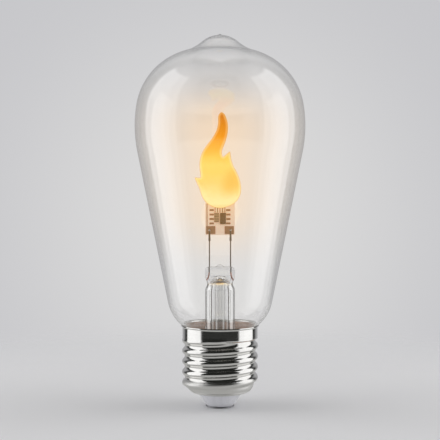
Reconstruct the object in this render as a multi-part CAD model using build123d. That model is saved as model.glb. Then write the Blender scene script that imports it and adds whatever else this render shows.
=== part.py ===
"""Flame effect LED bulb: a pear-shaped clear glass lamp on a 27 mm screw cap.

The glass stem inside carries two stiff leads, and these carry a small LED board whose upper end is
moulded into a flame-shaped silicone diffuser. A driver board sits in the cap.

Units are millimetres. The origin is the middle of the centre contact's face, +Z runs up the axis of
the lamp, and the component side of the LED board faces -Y.
"""

from build123d import *
from math import acos, cos, degrees, radians, sin, tan
import os

# Centre contact: an eyelet with a flat head, soldered over the live wire
CONTACT_D = 9.8
CONTACT_T = 0.6
CONTACT_BEVEL = 0.2
CONTACT_DIMPLE_D = 3.4
CONTACT_DIMPLE_DEPTH = 0.3
SHANK_D = 2.6
SHANK_L = 2.0

# Insulator moulded into the bottom of the screw shell, with a ledge for the driver board
INSULATOR_DROP = 4.3
INSULATOR_SEAT = 0.9
INSULATOR_FOOT_D = 10.6
INSULATOR_BULGE = 0.3
INSULATOR_INSIDE_T = 1.6
LEDGE_WIDTH = 1.2
LEDGE_H = 1.2

# Screw shell drawn from sheet, its thread rolled at seven turns to the inch
SHELL_WALL = 0.3
THREAD_MAJOR_D = 26.2
THREAD_DEPTH = 0.95
THREAD_PITCH = 25.4 / 7
THREAD_CREST_R = 1.0
THREAD_FLANK = 50.0
THREAD_SINK = 0.3
THREAD_TURNS = 4.05
THREAD_START = 2.36
BOWL_R = 3.3
BOWL_CONE = 12.0
BOWL_H = 5.5
THREADED_H = 11.8
SKIRT_STEP = 0.6
SKIRT_STEP_H = 0.5
SKIRT_H = 4.0
RIM_FLARE = 0.725
RIM_ROLL_R = 1.5

# Blown glass
GLASS_WALL = 0.8
GLOBE_D = 58.8
NECK_CLEAR = 0.35
NECK_INSERT = 7.3
NECK_FILLET_INSERT = 2.5
NECK_FILLET_R = 3.0
SHOULDER_R = 14.0
SHOULDER_ANGLE = 53.0
TAPER_ANGLE = 11.5
SIDE_R = 45.0
SIDE_TOP_ANGLE = 9.6
CROWN_R = 22.5
CROWN_TOP_ANGLE = 72.3
PIP_HOLLOW_R = 20.0
PIP_ANGLE = 49.0
PIP_NUB_D = 1.8
PIP_NUB_H = 0.45
CEMENT_DEPTH = 4.0
CEMENT_SETBACK = 0.4

# Glass stem: a thick tube flared out to the neck and pressed flat round the leads at its top
STEM_D = 10.3
STEM_BORE_D = 6.6
STEM_H = 18.0
FLARE_LIP_H = 0.9
FLARE_LIP_T = 1.0
WAIST_W = 9.0
WAIST_H = 2.6
PRESS_TAPER_H = 3.3
PRESS_H = 3.85
PRESS_T = 4.0
PRESS_CORNER_R = 1.5
PRESS_EDGE_R = 0.6
PRESS_BEAD_W = 3.1
PRESS_BEAD_H = 0.8
BORE_CROWN_H = 5.0
EXHAUST_D = 3.26
EXHAUST_BORE_D = 2.2
EXHAUST_SINK = 1.0
EXHAUST_TAIL = 3.4
EXHAUST_TIP_H = 1.8
PORT_D = 2.0

# Leads, from the LED board down to the driver board
LEAD_D = 0.42
LEAD_SPACING = 7.3
LEAD_SPAN = 11.0
LEAD_TOP_MARGIN = 0.5
SEAL_SPACING = 7.9
SEAL_H = 3.1
SEAL_TOP_DEPTH = 1.9
TAIL_SPACING = 6.1
TAIL_FOOT_INSET = 4.25
TAIL_DROP = 2.8
TAIL_SPREAD_H = 8.0
TAIL_FOOT_H = 3.0
LEAD_BEND_R = 1.0
PIN_STICKOUT = 0.5
LEAD_PRESS = 0.03
FERRULE_TOP_D = 0.5
FERRULE_FOOT_D = 0.8
FERRULE_H = 3.3
FERRULE_OVERLAP = 1.3

# LED board, with its tongue inside the flame
BOARD_W = 10.2
BOARD_H = 11.2
BOARD_T = 1.0
BOARD_CORNER_R = 0.4
TONGUE_W = 6.4
TONGUE_H = 13.4
FOIL_T = 0.07
SUPPLY_PAD_W = 3.2
SUPPLY_PAD_H = 2.75
SUPPLY_PAD_MARGIN = 0.3
LAND_W = 1.5
LAND_H = 0.66
LAND_PITCH = 1.533
LAND_ROWS = 4
LAND_RISE = 3.65
LAND_GAP = 0.1
TRACK_W = 0.28
TRACK_PITCH = 0.85
TRACK_COUNT = 5
SUPPLY_TRACK_INSET = 0.6
SOLDER_R = 0.45
CHIP_ROW_W = 4.05
CHIP_GAP = 0.4
CHIP_RISE = 3.7
CONTROLLER_W = 2.0
CONTROLLER_H = 3.9
CONTROLLER_T = 0.9
RESISTOR_ARRAY_H = 3.2
RESISTOR_ARRAY_T = 0.5
LED_SIZE = (1.4, 0.6, 2.0)
LED_ROWS = 3
LED_PITCH = 3.8
LED_FIRST_RISE = 2.4

# Silicone flame; its outline is in shares of its width and height from the middle of its foot
FLAME_W = 15.8
FLAME_H = 33.4
FLAME_T = 6.4
FLAME_TIP_T = 2.4
FLAME_OVERLAP = 2.0
FLAME_CORNER_R = 0.5
FLAME_EDGE_R = 0.45
FLAME_RIGHT = [
    (0.021, 1.0),
    (0.082, 0.987),
    (0.138, 0.937),
    (0.174, 0.868),
    (0.17, 0.794),
    (0.13, 0.705),
    (0.073, 0.635),
    (0.038, 0.586),
    (0.064, 0.53),
]
FLAME_BODY = [
    (0.224, 0.596),
    (0.239, 0.526),
    (0.287, 0.447),
    (0.375, 0.368),
    (0.442, 0.279),
    (0.463, 0.199),
    (0.429, 0.12),
    (0.339, 0.061),
    (0.176, 0.017),
    (0.0, 0.0),
    (-0.17, 0.017),
    (-0.314, 0.063),
    (-0.402, 0.13),
    (-0.452, 0.204),
    (-0.511, 0.264),
    (-0.563, 0.322),
]
FLAME_LEFT = [
    (-0.425, 0.316),
    (-0.431, 0.363),
    (-0.45, 0.427),
    (-0.446, 0.487),
    (-0.415, 0.551),
    (-0.348, 0.617),
    (-0.243, 0.683),
    (-0.138, 0.752),
    (-0.067, 0.823),
    (-0.04, 0.893),
    (-0.037, 0.96),
    (0.021, 1.0),
]

# Driver in the cap
DRIVER_T = 1.0
DRIVER_EDGE_CLEAR = 1.6
CAPACITOR_D = 5.0
CAPACITOR_H = 6.5
CAPACITOR_INSET = 4.35
CAPACITOR_GROOVE = 0.3
RECTIFIER_SIZE = (4.0, 3.4, 2.0)
RECTIFIER_INSET = (4.65, 5.85)
REGULATOR_SIZE = (3.8, 2.9, 1.5)
REGULATOR_INSET = (4.75, 5.85)
PACKAGE_BEVEL = 0.25
PACKAGE_FOOT = (0.5, 0.5, 0.2)
FUSE_D = 2.4
FUSE_L = 6.4
FUSE_INSET = 5.45
FUSE_LIFT = 0.3
FUSE_LEAD_D = 0.6
FUSE_LEAD_SPAN = 9.0
LIVE_WIRE_D = 0.6
NEUTRAL_WIRE_D = 0.5
NEUTRAL_INSET = 2.65
NEUTRAL_SOLDER_R = 0.8
NEUTRAL_SOLDER_SINK = 0.25

# Diameters and radii across the cap, each worked out from the thread's
THREAD_MINOR_D = THREAD_MAJOR_D - 2 * THREAD_DEPTH
SKIRT_D = THREAD_MINOR_D + 2 * SKIRT_STEP
RIM_D = SKIRT_D + 2 * RIM_FLARE
NECK_D = THREAD_MINOR_D - 2 * (SHELL_WALL + NECK_CLEAR)
NECK_BORE_R = NECK_D / 2 - GLASS_WALL
ROOT_BORE_R = THREAD_MINOR_D / 2 - SHELL_WALL
BOWL_SLOPE = radians(BOWL_CONE)
BOWL_REACH = (BOWL_R + (BOWL_H - BOWL_R) * sin(BOWL_SLOPE)) / cos(BOWL_SLOPE)
BOWL_CENTRE_R = THREAD_MINOR_D / 2 - BOWL_REACH
INSULATOR_D = 2 * (BOWL_CENTRE_R - INSULATOR_SEAT)
DRIVER_R = ROOT_BORE_R - DRIVER_EDGE_CLEAR
CAPACITOR_REACH = DRIVER_R - CAPACITOR_INSET
FUSE_REACH = DRIVER_R - FUSE_INSET
NEUTRAL_REACH = ROOT_BORE_R - NEUTRAL_INSET
TAIL_FOOT_SPACING = 2 * (DRIVER_R - TAIL_FOOT_INSET)

# Levels along the axis, each worked out from the piece below it
SHELL_BOTTOM_Z = CONTACT_T + INSULATOR_DROP
SHELL_FLOOR_Z = SHELL_BOTTOM_Z + SHELL_WALL
DRIVER_Z = SHELL_FLOOR_Z + INSULATOR_INSIDE_T + LEDGE_H
DRIVER_TOP_Z = DRIVER_Z + DRIVER_T
BOWL_TOP_Z = SHELL_BOTTOM_Z + BOWL_H
SKIRT_Z = BOWL_TOP_Z + THREADED_H
ROLL_Z = SKIRT_Z + SKIRT_H
ROLL_ANGLE = degrees(acos(1 - (RIM_D - SKIRT_D) / 2 / RIM_ROLL_R))
RIM_Z = ROLL_Z + (RIM_ROLL_R + SHELL_WALL) * sin(radians(ROLL_ANGLE))
NECK_BOTTOM_Z = RIM_Z - NECK_INSERT
NECK_FILLET_Z = RIM_Z - NECK_FILLET_INSERT
STEM_TOP_Z = NECK_BOTTOM_Z + STEM_H
BORE_TOP_Z = STEM_TOP_Z + BORE_CROWN_H
WAIST_Z = STEM_TOP_Z + WAIST_H
PRESS_Z = WAIST_Z + PRESS_TAPER_H
PRESS_TOP_Z = PRESS_Z + PRESS_H
SEAL_TOP_Z = PRESS_TOP_Z - SEAL_TOP_DEPTH
SEAL_FOOT_Z = SEAL_TOP_Z - SEAL_H
BOARD_Z = PRESS_TOP_Z + LEAD_SPAN
BOARD_TOP_Z = BOARD_Z + BOARD_H
FLAME_Z = BOARD_TOP_Z - FLAME_OVERLAP
PAD_Z = BOARD_Z + SUPPLY_PAD_MARGIN
SOLDER_Z = PAD_Z + SUPPLY_PAD_H / 2
NEUTRAL_Z = SHELL_BOTTOM_Z + THREAD_START + 1.5 * THREAD_PITCH

# The leads run in the plane y = 0, pressed a little into the pads of the board behind them
FOIL_Y = LEAD_D / 2 - LEAD_PRESS
BOARD_Y = FOIL_Y + FOIL_T
BOARD_MID_Y = BOARD_Y + BOARD_T / 2

STANDING = (Align.CENTER, Align.CENTER, Align.MIN)


def chain(*corners):
    """Straight edges from each corner to the next."""
    return [Line(a, b) for a, b in zip(corners, corners[1:])]


def point(x, z):
    """A point of an outline in the XZ plane."""
    return Vector(x, 0, z)


def turned(edges):
    """The solid that a closed outline in the XZ plane sweeps when it turns once round the axis."""
    return revolve(make_face(edges), Axis.Z)


def block(size, x, y, z):
    """A block centred on x and y, standing on z."""
    return Pos(x, y, z) * Box(*size, align=STANDING)


def rod(diameter, length, x, y, z):
    """An upright cylinder standing on z."""
    return Pos(x, y, z) * Cylinder(diameter / 2, length, align=STANDING)


def taper(foot_d, top_d, length, x, y, z):
    """An upright cone, cut off at its top, standing on z."""
    return Pos(x, y, z) * Cone(foot_d / 2, top_d / 2, length, align=STANDING)


def foil(width, height, x, z):
    """A patch of copper on the front of the LED board, centred on x, standing on z."""
    return block((width, FOIL_T, height), x, FOIL_Y + FOIL_T / 2, z)


def wire(diameter, points, bend_radius):
    """A round wire of straight runs with a bend at each corner."""
    path = FilletPolyline(*points, radius=bend_radius)
    return sweep(Plane(path @ 0, z_dir=path % 0) * Circle(diameter / 2), path)


def between(shape, low_z, high_z):
    """The part of a shape that lies between two heights."""
    return shape & block((GLOBE_D, GLOBE_D, high_z - low_z), 0, 0, low_z)


class Arc:
    """An arc of a turned outline. Its two ends are set by the angle of the surface's outward normal
    above the horizontal, so a copy moved inwards by a wall keeps its tangents."""

    def __init__(self, centre, radius, start, end, hollow=False):
        self.centre = centre
        self.radius = radius
        self.start = start
        self.end = end
        self.hollow = hollow

    def point(self, normal, inset=0.0):
        reach = -(self.radius + inset) if self.hollow else self.radius - inset
        x, z = self.centre
        return point(x + reach * cos(radians(normal)), z + reach * sin(radians(normal)))

    def edge(self, inset=0.0):
        middle = (self.start + self.end) / 2
        return ThreePointArc(*(self.point(n, inset) for n in (self.start, middle, self.end)))

    def next_centre(self, radius, hollow=False):
        """The centre of the arc that carries on from this one without a corner."""
        joint = self.point(self.end)
        reach = radius if hollow else -radius
        return (
            joint.X + reach * cos(radians(self.end)),
            joint.Z + reach * sin(radians(self.end)),
        )


def glass_arcs():
    """The arcs of the blown glass: neck fillet, shoulder, side, crown, and the hollow and top of
    the pip. A straight taper joins the shoulder to the side."""
    neck_centre = (NECK_D / 2 + NECK_FILLET_R, NECK_FILLET_Z)
    neck = Arc(neck_centre, NECK_FILLET_R, 0, -SHOULDER_ANGLE, hollow=True)
    shoulder = Arc(neck.next_centre(SHOULDER_R), SHOULDER_R, -SHOULDER_ANGLE, -TAPER_ANGLE)
    slope = radians(TAPER_ANGLE)
    side_x = GLOBE_D / 2 - SIDE_R
    foot = shoulder.point(-TAPER_ANGLE)
    slope_top_z = foot.Z + (side_x + SIDE_R * cos(slope) - foot.X) / tan(slope)
    side = Arc((side_x, slope_top_z + SIDE_R * sin(slope)), SIDE_R, -TAPER_ANGLE, SIDE_TOP_ANGLE)
    crown = Arc(side.next_centre(CROWN_R), CROWN_R, SIDE_TOP_ANGLE, CROWN_TOP_ANGLE)
    hollow_centre = crown.next_centre(PIP_HOLLOW_R, hollow=True)
    hollow = Arc(hollow_centre, PIP_HOLLOW_R, CROWN_TOP_ANGLE, PIP_ANGLE, hollow=True)
    pip_r = hollow.point(PIP_ANGLE).X / cos(radians(PIP_ANGLE))
    pip = Arc(hollow.next_centre(pip_r), pip_r, PIP_ANGLE, 90)
    return [neck, shoulder, side, crown, hollow, pip]


def glass_body(inset=0.0):
    """Everything inside the glass's surface at one depth in its wall, as one solid."""
    arcs = glass_arcs()
    neck, shoulder, side, pip = arcs[0], arcs[1], arcs[2], arcs[-1]
    foot = point(0, NECK_BOTTOM_Z)
    lower = chain(foot, point(NECK_D / 2 - inset, NECK_BOTTOM_Z), neck.point(0, inset))
    slope = chain(shoulder.point(-TAPER_ANGLE, inset), side.point(-TAPER_ANGLE, inset))
    axis = chain(pip.point(90, inset), foot)
    return turned(lower + slope + axis + [arc.edge(inset) for arc in arcs])


def glass_envelope():
    """The blown glass: an even wall, open at the neck, with a drop of glass on its pip."""
    crown_z = glass_arcs()[-1].point(90).Z
    nub_r = (PIP_NUB_D**2 / 4 + PIP_NUB_H**2) / (2 * PIP_NUB_H)
    nub = Pos(0, 0, crown_z + PIP_NUB_H - nub_r) * Sphere(nub_r)
    nub &= rod(PIP_NUB_D, GLASS_WALL, 0, 0, crown_z - GLASS_WALL / 2)
    return glass_body() - glass_body(GLASS_WALL) + nub


def bowl_arc():
    """The rounded bottom edge of the screw shell, tangent to its flat bottom and to the cone that
    widens to the thread's root."""
    return Arc((BOWL_CENTRE_R, SHELL_BOTTOM_Z + BOWL_R), BOWL_R, -90, -BOWL_CONE)


def thread_ridge(inset=0.0):
    """The ridge that the rolled thread adds to the shell's root, at one depth in its wall. Its ends
    fade out into the bowl below and the skirt above."""
    crest_x = THREAD_MAJOR_D / 2 - inset
    root_x = THREAD_MINOR_D / 2 - inset
    crest_r = THREAD_CREST_R - inset
    flank = radians(THREAD_FLANK)
    shoulder_x = crest_x - crest_r * (1 - cos(flank))
    shoulder_z = crest_r * sin(flank)
    foot_x = root_x - THREAD_SINK
    foot_z = shoulder_z + (shoulder_x - foot_x) / tan(flank)
    shoulders = point(shoulder_x, -shoulder_z), point(shoulder_x, shoulder_z)
    feet = point(foot_x, foot_z), point(foot_x, -foot_z)
    crest = ThreePointArc(shoulders[0], point(crest_x, 0), shoulders[1])
    edges = [crest] + chain(shoulders[1], *feet, shoulders[0])
    helix = Helix(THREAD_PITCH, THREAD_TURNS * THREAD_PITCH, root_x)
    ridge = sweep(make_face(edges), path=helix, is_frenet=True)
    ridge = Pos(0, 0, SHELL_BOTTOM_Z + THREAD_START) * Rot(0, 0, 90) * ridge

    clear_x = crest_x + SHELL_WALL
    low_x, low_z = BOWL_CENTRE_R, SHELL_BOTTOM_Z + BOWL_R / 3
    high_z = SKIRT_Z + THREAD_PITCH / 2
    fade = chain(
        point(0, low_z),
        point(low_x, low_z),
        point(clear_x, BOWL_TOP_Z - THREAD_PITCH),
        point(clear_x, SKIRT_Z - THREAD_PITCH / 4),
        point(low_x, high_z),
        point(0, high_z),
        point(0, low_z),
    )
    return ridge & turned(fade)


def shell_body(inset=0.0):
    """Everything inside the screw shell's surface at one depth in its wall, as one solid."""
    bowl = bowl_arc()
    roll = Arc((SKIRT_D / 2 + RIM_ROLL_R, ROLL_Z), RIM_ROLL_R, 0, -ROLL_ANGLE, hollow=True)
    root_x = THREAD_MINOR_D / 2 - inset
    skirt_x = SKIRT_D / 2 - inset
    side = chain(
        bowl.point(-BOWL_CONE, inset),
        point(root_x, BOWL_TOP_Z + inset * tan(radians(BOWL_CONE / 2))),
        point(root_x, SKIRT_Z - SKIRT_STEP_H + inset / 2),
        point(skirt_x, SKIRT_Z + inset / 2),
        point(skirt_x, ROLL_Z),
    )
    lip = roll.point(-ROLL_ANGLE, inset)
    mouth = roll.point(-ROLL_ANGLE, SHELL_WALL)
    foot = point(0, SHELL_BOTTOM_Z + inset)
    closing = chain(mouth, point(0, mouth.Z), foot, bowl.point(-90, inset))
    if inset < SHELL_WALL:
        closing.append(Line(lip, mouth))
    return turned(side + closing + [bowl.edge(inset), roll.edge(inset)]) + thread_ridge(inset)


def cap_insulator():
    """The insulator: a rounded cone below the shell, a disc inside it and a ledge on the disc."""
    foot = point(INSULATOR_FOOT_D / 2, CONTACT_T)
    brow = point(INSULATOR_D / 2, SHELL_BOTTOM_Z)
    middle = (foot + brow) / 2 + point(INSULATOR_BULGE, -INSULATOR_BULGE)
    disc_z = SHELL_FLOOR_Z + INSULATOR_INSIDE_T
    rest = chain(
        brow,
        point(brow.X, SHELL_FLOOR_Z),
        point(BOWL_CENTRE_R, SHELL_FLOOR_Z),
        point(BOWL_CENTRE_R, DRIVER_Z),
        point(BOWL_CENTRE_R - LEDGE_WIDTH, DRIVER_Z),
        point(BOWL_CENTRE_R - LEDGE_WIDTH, disc_z),
        point(0, disc_z),
        point(0, CONTACT_T),
        foot,
    )
    return turned([ThreePointArc(foot, middle, brow)] + rest)


def lead_wire(side):
    """One lead as a single wire from the LED board's pad down through the stem to the driver."""
    top_x, seal_x, tail_x, foot_x = (
        side * spacing / 2
        for spacing in (LEAD_SPACING, SEAL_SPACING, TAIL_SPACING, TAIL_FOOT_SPACING)
    )
    spread_z = DRIVER_TOP_Z + TAIL_FOOT_H
    points = [
        (top_x, 0, SOLDER_Z + LEAD_TOP_MARGIN),
        (top_x, 0, SEAL_TOP_Z),
        (seal_x, 0, SEAL_FOOT_Z),
        (tail_x, 0, SEAL_FOOT_Z - TAIL_DROP),
        (tail_x, 0, spread_z + TAIL_SPREAD_H),
        (foot_x, 0, spread_z),
        (foot_x, 0, DRIVER_Z - PIN_STICKOUT),
    ]
    return wire(LEAD_D, points, LEAD_BEND_R)


def exhaust_tube():
    """The tube that the bulb was pumped and filled through, melted shut at its lower tip."""
    outer_r, bore_r = EXHAUST_D / 2, EXHAUST_BORE_D / 2
    top_z = BORE_TOP_Z + EXHAUST_SINK
    tip_z = NECK_BOTTOM_Z - EXHAUST_TAIL
    brow_z = tip_z + EXHAUST_TIP_H
    floor_z = tip_z + EXHAUST_TIP_H / 2
    outside = Spline(
        point(outer_r, brow_z), point(0, tip_z), tangents=[Vector(0, 0, -1), Vector(-1, 0, 0)]
    )
    inside = Spline(
        point(0, floor_z), point(bore_r, brow_z), tangents=[Vector(1, 0, 0), Vector(0, 0, 1)]
    )
    sides = chain(
        point(bore_r, brow_z), point(bore_r, top_z), point(outer_r, top_z), point(outer_r, brow_z)
    )
    return turned([outside, inside] + sides + chain(point(0, tip_z), point(0, floor_z)))


def stem_outside():
    """The stem filled in: a lip sealed to the neck, the flare, the tube and its closed shoulder,
    with the flat press on top."""
    stem_r = STEM_D / 2
    flare_r = NECK_BORE_R - stem_r
    lip_z = NECK_BOTTOM_Z + FLARE_LIP_H
    flare = Arc((NECK_BORE_R, lip_z + flare_r), flare_r, 90, 0, hollow=True)
    foot = point(0, NECK_BOTTOM_Z)
    shoulder = Spline(
        point(stem_r, STEM_TOP_Z),
        point(WAIST_W / 2, WAIST_Z),
        point(0, PRESS_Z),
        tangents=[Vector(0, 0, 1), Vector(-1, 0, 0)],
    )
    lower = chain(foot, point(NECK_BORE_R, NECK_BOTTOM_Z), point(NECK_BORE_R, lip_z))
    tube = chain(flare.point(0), point(stem_r, STEM_TOP_Z))
    axis = chain(point(0, PRESS_Z), foot)
    body = turned(lower + tube + axis + [flare.edge(), shoulder])

    waist_x = WAIST_W / 2
    outline = chain(
        point(-waist_x, WAIST_Z),
        point(waist_x, WAIST_Z),
        point(stem_r, PRESS_Z),
        point(stem_r, PRESS_TOP_Z),
        point(-stem_r, PRESS_TOP_Z),
        point(-stem_r, PRESS_Z),
        point(-waist_x, WAIST_Z),
    )
    press = extrude(make_face(outline), PRESS_T / 2, both=True)
    corners = press.edges().filter_by(Axis.Y).group_by(Axis.Z)[-1]
    press = fillet(corners, PRESS_CORNER_R)
    rim = press.edges().filter_by(Axis.Y, reverse=True).group_by(Axis.Z)[1:]
    press = fillet([edge for level in rim for edge in level], PRESS_EDGE_R)
    bead = Pos(0, 0, PRESS_TOP_Z) * scale(Sphere(1), by=(PRESS_BEAD_W / 2, PRESS_T / 3, PRESS_BEAD_H))
    return body + press + bead


def stem_bore():
    """The hollow of the stem: a bell at its foot, the bore and its domed end, the seat of the
    exhaust tube and the port that opens from the tube's bore through the front of the press."""
    bore_r = STEM_BORE_D / 2
    bell_r = NECK_BORE_R - FLARE_LIP_T - bore_r
    bell = Arc((bore_r + bell_r, NECK_BOTTOM_Z + bell_r), bell_r, 90, 0, hollow=True)
    dome = Spline(
        point(bore_r, STEM_TOP_Z),
        point(0, BORE_TOP_Z),
        tangents=[Vector(0, 0, 1), Vector(-1, 0, 0)],
    )
    rest = chain(point(0, BORE_TOP_Z), point(0, NECK_BOTTOM_Z), bell.point(90))
    hollow = turned([bell.edge(), dome] + chain(bell.point(0), point(bore_r, STEM_TOP_Z)) + rest)
    seat = rod(EXHAUST_D, EXHAUST_SINK + BORE_CROWN_H, 0, 0, STEM_TOP_Z)
    seat_top_z = BORE_TOP_Z + EXHAUST_SINK
    port = Pos(0, 0, seat_top_z) * Rot(90, 0, 0) * Cylinder(PORT_D / 2, PRESS_T, align=STANDING)
    port -= rod(EXHAUST_D, EXHAUST_SINK + BORE_CROWN_H, 0, 0, STEM_TOP_Z)
    return hollow + seat + port + Pos(0, 0, seat_top_z) * Sphere(PORT_D / 2)


def supply_pad(side):
    """The copper pad that one lead is soldered to."""
    x = side * (BOARD_W / 2 - SUPPLY_PAD_MARGIN - SUPPLY_PAD_W / 2)
    return foil(SUPPLY_PAD_W, SUPPLY_PAD_H, x, PAD_Z)


def led_board():
    """The board's bare plate: a wide lower part and a narrower tongue for the LEDs."""
    lower = block((BOARD_W, BOARD_T, BOARD_H), 0, BOARD_MID_Y, BOARD_Z)
    lower = fillet(lower.edges().filter_by(Axis.Y), BOARD_CORNER_R)
    tongue = block((TONGUE_W, BOARD_T, TONGUE_H), 0, BOARD_MID_Y, BOARD_TOP_Z)
    tongue = fillet(tongue.edges().filter_by(Axis.Y).group_by(Axis.Z)[-1], BOARD_CORNER_R)
    return lower + tongue


def board_tracks():
    """The chips' solder lands, the track from the left pad and the tracks up to the LEDs."""
    land_x = CHIP_ROW_W / 2 + LAND_GAP + LAND_W / 2
    lands = [
        foil(LAND_W, LAND_H, side * land_x, BOARD_Z + LAND_RISE + row * LAND_PITCH)
        for side in (-1, 1)
        for row in range(LAND_ROWS)
    ]
    chip_top_z = BOARD_Z + CHIP_RISE + CONTROLLER_H
    tracks = [
        foil(
            TRACK_W,
            BOARD_TOP_Z - BOARD_CORNER_R - chip_top_z - LAND_GAP,
            (i - (TRACK_COUNT - 1) / 2) * TRACK_PITCH,
            chip_top_z + LAND_GAP,
        )
        for i in range(TRACK_COUNT)
    ]
    pad_top_z = PAD_Z + SUPPLY_PAD_H
    supply_x = -BOARD_W / 2 + SUPPLY_TRACK_INSET
    supply = foil(TRACK_W, BOARD_TOP_Z - BOARD_CORNER_R - pad_top_z, supply_x, pad_top_z)
    return Compound(children=lands + tracks + [supply])


def led(row, side_y):
    """One LED on the tongue, on the front (-1) or the back (1) of the board."""
    y = BOARD_MID_Y + side_y * (BOARD_T + LED_SIZE[1]) / 2
    return block(LED_SIZE, 0, y, BOARD_TOP_Z + LED_FIRST_RISE + row * LED_PITCH)


def flame_blank():
    """The flame before the board is taken out of it: a flat flame outline that thins towards its
    tip, with its corners and rims rounded."""

    def place(outline):
        return [point(x * FLAME_W, FLAME_Z + z * FLAME_H) for x, z in outline]

    right, body, left = place(FLAME_RIGHT), place(FLAME_BODY), place(FLAME_LEFT)
    edges = [Spline(*right), Spline(*body), Spline(*left)]
    edges += [Line(right[-1], body[0]), Line(body[-1], left[0])]
    outline = make_face(edges)
    outline = fillet(outline.vertices(), FLAME_CORNER_R)
    side = Polygon(
        (-FLAME_T / 2, 0),
        (FLAME_T / 2, 0),
        (FLAME_TIP_T / 2, FLAME_H),
        (-FLAME_TIP_T / 2, FLAME_H),
        align=None,
    )
    wedge = Pos(0, 0, FLAME_Z) * extrude(Plane.YZ * side, FLAME_W, both=True)
    flame = extrude(outline, FLAME_T, both=True) & wedge
    faces = flame.faces().sort_by(Axis.Y)
    flame = fillet(faces[0].edges() + faces[-1].edges(), FLAME_EDGE_R)
    return Pos(0, BOARD_MID_Y, 0) * flame


def chip_package(size, side_x, inset):
    """A surface-mounted chip on the front half of the driver board, left (-1) or right (1): a body
    with bevelled top edges and four feet."""
    width = size[0]
    x, y = side_x * (DRIVER_R - inset[0]), inset[1] - DRIVER_R
    body = block(size, x, y, DRIVER_TOP_Z)
    body = chamfer(body.edges().group_by(Axis.Z)[-1], PACKAGE_BEVEL)
    foot_x = (width + PACKAGE_FOOT[0]) / 2
    for foot_side in (-1, 1):
        for foot_row in (-1, 1):
            foot_y = y + foot_row * size[1] / 4
            body += block(PACKAGE_FOOT, x + foot_side * foot_x, foot_y, DRIVER_TOP_Z)
    return body


def smoothing_capacitor():
    """The capacitor's can, standing on the driver board, with the groove pressed into its foot."""
    can = rod(CAPACITOR_D, CAPACITOR_H, 0, -CAPACITOR_REACH, DRIVER_TOP_Z)
    can = fillet(can.edges().group_by(Axis.Z)[-1], CAPACITOR_GROOVE)
    groove = Torus(CAPACITOR_D / 2 + CAPACITOR_GROOVE / 2, CAPACITOR_GROOVE)
    return can - Pos(0, -CAPACITOR_REACH, DRIVER_TOP_Z + CAPACITOR_D / 4) * groove


def fusible_resistor():
    """The resistor that also acts as the fuse, lying across the driver board on its two legs."""
    axis_z = DRIVER_TOP_Z + FUSE_LIFT + FUSE_D / 2
    half_span = FUSE_LEAD_SPAN / 2
    leg_foot_z = DRIVER_Z - PIN_STICKOUT
    legs = wire(
        FUSE_LEAD_D,
        [
            (-half_span, FUSE_REACH, leg_foot_z),
            (-half_span, FUSE_REACH, axis_z),
            (half_span, FUSE_REACH, axis_z),
            (half_span, FUSE_REACH, leg_foot_z),
        ],
        FUSE_LEAD_D,
    )
    body = Pos(0, FUSE_REACH, axis_z) * Rot(0, 90, 0) * Cylinder(FUSE_D / 2, FUSE_L)
    return fillet(body.edges().filter_by(GeomType.CIRCLE), FUSE_D / 6) + legs


def neutral_wire():
    """The wire from the driver board out to the inside of the screw shell."""
    points = [
        (0, NEUTRAL_REACH, DRIVER_Z - PIN_STICKOUT),
        (0, NEUTRAL_REACH, NEUTRAL_Z),
        (0, ROOT_BORE_R - NEUTRAL_SOLDER_SINK, NEUTRAL_Z),
    ]
    return wire(NEUTRAL_WIRE_D, points, LEAD_BEND_R)


def contact_fill():
    """The filled shape of the dimple in the centre contact."""
    return taper(CONTACT_DIMPLE_D, LIVE_WIRE_D, CONTACT_DIMPLE_DEPTH, 0, 0, 0)


parts = {}

# Cap
shell_inside = shell_body(SHELL_WALL)
shell_hole = rod(INSULATOR_D, SHELL_WALL, 0, 0, SHELL_BOTTOM_Z)
cap_shell = shell_body() - shell_inside - shell_hole
live_foot_z = CONTACT_DIMPLE_DEPTH / 2
live_wire = rod(
    LIVE_WIRE_D, DRIVER_TOP_Z + PIN_STICKOUT - live_foot_z, 0, 0, live_foot_z
)
shank = rod(SHANK_D, SHANK_L, 0, 0, CONTACT_T)
head = rod(CONTACT_D, CONTACT_T, 0, 0, 0)
head = chamfer(head.edges().group_by(Axis.Z)[0], CONTACT_BEVEL)
parts["cap_shell"] = cap_shell
parts["cap_insulator"] = cap_insulator() - shank - live_wire
parts["centre_contact"] = head + shank - contact_fill() - live_wire
parts["contact_solder"] = contact_fill() - live_wire
parts["live_wire"] = live_wire

# Glass, and the cement that holds it in the cap
cement_z = RIM_Z - CEMENT_SETBACK - CEMENT_DEPTH
cement_slab = rod(RIM_D, CEMENT_DEPTH, 0, 0, cement_z)
parts["basing_cement"] = (cement_slab & shell_inside) - glass_body()
parts["glass_envelope"] = glass_envelope()

# Leads and stem
stem = stem_outside() - stem_bore()
board = led_board()
copper = board_tracks()
pads = {}
for name, side in (("left", -1), ("right", 1)):
    lead = lead_wire(side)
    pads[name] = supply_pad(side) - lead
    lead_x = side * LEAD_SPACING / 2
    ferrule_z = BOARD_Z + FERRULE_OVERLAP - FERRULE_H
    ferrule = taper(FERRULE_FOOT_D, FERRULE_TOP_D, FERRULE_H, lead_x, 0, ferrule_z)
    bead = Pos(lead_x, 0, SOLDER_Z) * Sphere(SOLDER_R)
    parts["support_wire_" + name] = between(lead, SEAL_TOP_Z, SOLDER_Z + 2 * LEAD_TOP_MARGIN)
    parts["seal_wire_" + name] = between(lead, SEAL_FOOT_Z, SEAL_TOP_Z)
    parts["lead_tail_" + name] = between(lead, 0, SEAL_FOOT_Z)
    parts["lead_ferrule_" + name] = ferrule - lead - pads[name] - board
    parts["supply_pad_" + name] = pads[name]
    parts["solder_joint_" + name] = bead - lead - pads[name] - board - ferrule
    stem -= lead
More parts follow.
